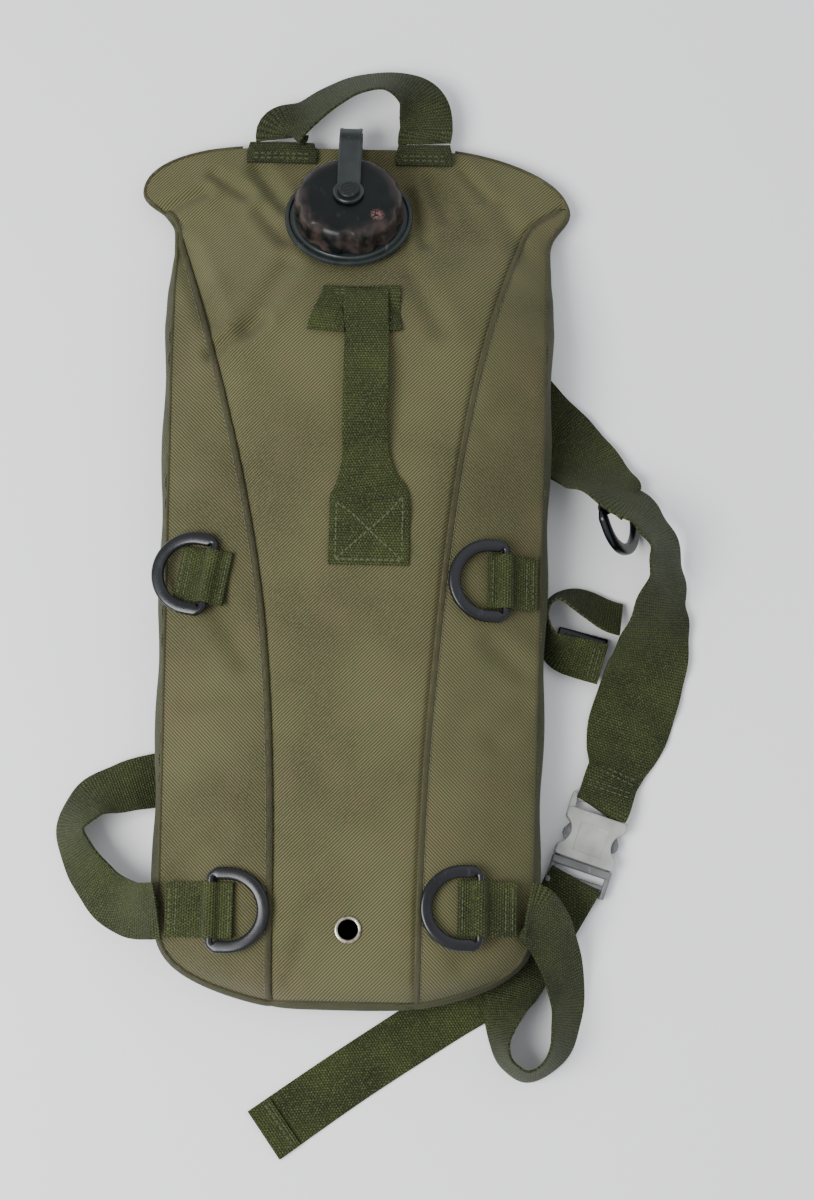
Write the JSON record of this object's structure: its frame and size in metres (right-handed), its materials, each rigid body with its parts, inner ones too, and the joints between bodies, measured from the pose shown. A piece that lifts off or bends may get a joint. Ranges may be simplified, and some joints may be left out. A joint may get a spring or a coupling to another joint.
{
  "type": "hydration pack",
  "caption": "Slim insulated hydration pack with a screw-cap reservoir inside, webbing shoulder straps, side-release buckles, rings and a grab handle.",
  "frame": {"origin": "centre of the spine pad's flat resting face, on the centre line", "axes": "+X to the right of the front, +Y towards the grab handle, +Z off the floor through the front"},
  "size_m": [0.3685, 0.6498, 0.069],
  "materials": {
    "shell_fabric": "coated polyester twill, olive",
    "webbing": "ribbed woven webbing, olive green",
    "pad_fabric": "spacer mesh over foam, dark olive",
    "foam": "closed-cell insulating foam, pale grey",
    "touch_tape": "hook and loop tape, black",
    "film": "clear blue film bag full of water",
    "cap_plastic": "moulded plastic, black, satin",
    "tether_rubber": "soft moulded black plastic",
    "seal_rubber": "food grade seal, grey",
    "ring_plastic": "moulded acetal, navy black",
    "eyelet_metal": "plated eyelet, worn",
    "buckle_plastic": "moulded acetal with a speckled metal look"
  },
  "bodies": {
    "carrier": {"front_centre_panel": "shell_fabric", "front_left_panel": "shell_fabric", "front_right_panel": "shell_fabric", "side_gusset": "shell_fabric", "back_panel": "shell_fabric", "spine_pad": "pad_fabric", "insulation_liner": "foam", "loop_strip": "touch_tape", "hook_strip": "touch_tape", "reservoir_bag": "film", "neck_collar": "cap_plastic", "outlet_elbow": "cap_plastic", "tether_ring": "tether_rubber", "drain_eyelet": "eyelet_metal", "drain_washer": "eyelet_metal", "carry_anchor": "webbing", "carry_strap": "webbing", "handle_anchor_left": "webbing", "handle_anchor_right": "webbing", "tab_lower_left": "webbing", "tab_lower_right": "webbing", "tab_upper_left": "webbing", "tab_upper_right": "webbing", "shoulder_yoke": "webbing", "shoulder_strap_left": "webbing", "shoulder_strap_right": "webbing", "strap_tab_left": "webbing", "strap_tab_right": "webbing", "socket_left": "buckle_plastic", "socket_right": "buckle_plastic", "plug_left": "buckle_plastic", "plug_right": "buckle_plastic", "lower_strap_left": "webbing", "lower_strap_right": "webbing", "tail_left": "webbing", "tail_right": "webbing", "sternum_strap_left": "webbing", "sternum_strap_right": "webbing", "sternum_socket": "ring_plastic"},
    "tether": {"tether_strap": "tether_rubber"},
    "cap": {"screw_cap": "cap_plastic", "cap_seal": "seal_rubber", "tether_button": "tether_rubber"},
    "handle": {"grab_handle": "webbing"},
    "ring_lower_left": {"ring_lower_left": "ring_plastic"},
    "ring_lower_right": {"ring_lower_right": "ring_plastic"},
    "ring_upper_left": {"ring_upper_left": "ring_plastic"},
    "ring_upper_right": {"ring_upper_right": "ring_plastic"},
    "strap_ring_left": {"strap_ring_left": "ring_plastic"},
    "strap_ring_right": {"strap_ring_right": "ring_plastic"},
    "prong_left_a": {"prong_left_a": "buckle_plastic"},
    "prong_left_b": {"prong_left_b": "buckle_plastic"},
    "prong_right_a": {"prong_right_a": "buckle_plastic"},
    "prong_right_b": {"prong_right_b": "buckle_plastic"},
    "sternum_plug": {"sternum_plug": "ring_plastic"}
  },
  "joints": [
    {"name": "cap_lift", "type": "slide", "parent": "carrier", "child": "tether", "axis": [0, 0.4226, 0.9063], "range_m": [0, 0.006], "deforming": ["tether_strap"]},
    {"name": "cap_turn", "type": "hinge", "parent": "tether", "child": "cap", "pos_m": [-0.008, 0.2045, 0.032], "axis": [0, 0.4226, 0.9063], "range_deg": [0, 450]},
    {"name": "lower_left_swing", "type": "hinge", "parent": "carrier", "child": "ring_lower_left", "pos_m": [-0.075, -0.2055, 0.05689], "axis": [0, -1, 0], "range_deg": [0, 160]},
    {"name": "lower_right_swing", "type": "hinge", "parent": "carrier", "child": "ring_lower_right", "pos_m": [0.076, -0.2015, 0.05682], "axis": [0, 1, 0], "range_deg": [0, 160]},
    {"name": "upper_left_swing", "type": "hinge", "parent": "carrier", "child": "ring_upper_left", "pos_m": [-0.082, -0.0165, 0.05576], "axis": [0.1736, 0.9848, 0], "range_deg": [0, 140]},
    {"name": "upper_right_swing", "type": "hinge", "parent": "carrier", "child": "ring_upper_right", "pos_m": [0.088, -0.0155, 0.05381], "axis": [0, 1, 0], "range_deg": [0, 160]},
    {"name": "strap_ring_left_swing", "type": "hinge", "parent": "carrier", "child": "strap_ring_left", "pos_m": [-0.081, 0.0665, 0.00595], "axis": [-1, 0, 0], "range_deg": [0, 4]},
    {"name": "strap_ring_right_swing", "type": "hinge", "parent": "carrier", "child": "strap_ring_right", "pos_m": [0.1514, 0.0393, 0.0245], "axis": [0.4045, 0.4995, -0.766], "range_deg": [-15, 25]},
    {"name": "handle_swing", "type": "hinge", "parent": "carrier", "child": "handle", "pos_m": [-0.008, 0.259, 0.0145], "axis": [1, 0, 0], "range_deg": [0, 75]},
    {"name": "prong_left_a_press", "type": "hinge", "parent": "carrier", "child": "prong_left_a", "pos_m": [-0.0705, -0.0903, 0.0055], "axis": [0, 0, 1], "range_deg": [0, 8], "stiffness_Nm_per_rad": 0.35},
    {"name": "prong_left_b_press", "type": "hinge", "parent": "carrier", "child": "prong_left_b", "pos_m": [-0.0895, -0.0903, 0.0055], "axis": [0, 0, -1], "range_deg": [0, 8], "stiffness_Nm_per_rad": 0.35},
    {"name": "prong_right_a_press", "type": "hinge", "parent": "carrier", "child": "prong_right_a", "pos_m": [0.14763, -0.16992, 0.0055], "axis": [0, 0, 1], "range_deg": [0, 8], "stiffness_Nm_per_rad": 0.35},
    {"name": "prong_right_b_press", "type": "hinge", "parent": "carrier", "child": "prong_right_b", "pos_m": [0.12952, -0.16417, 0.0055], "axis": [0, 0, -1], "range_deg": [0, 8], "stiffness_Nm_per_rad": 0.35},
    {"name": "sternum_plug_adjust", "type": "slide", "parent": "carrier", "child": "sternum_plug", "axis": [0.9703, -0.2419, 0], "range_m": [-0.002, 0.005]}
  ],
  "couplings": [
    {"joint": "cap_lift", "follows": "cap_turn", "m_per_rad": 0.00063662}
  ]
}
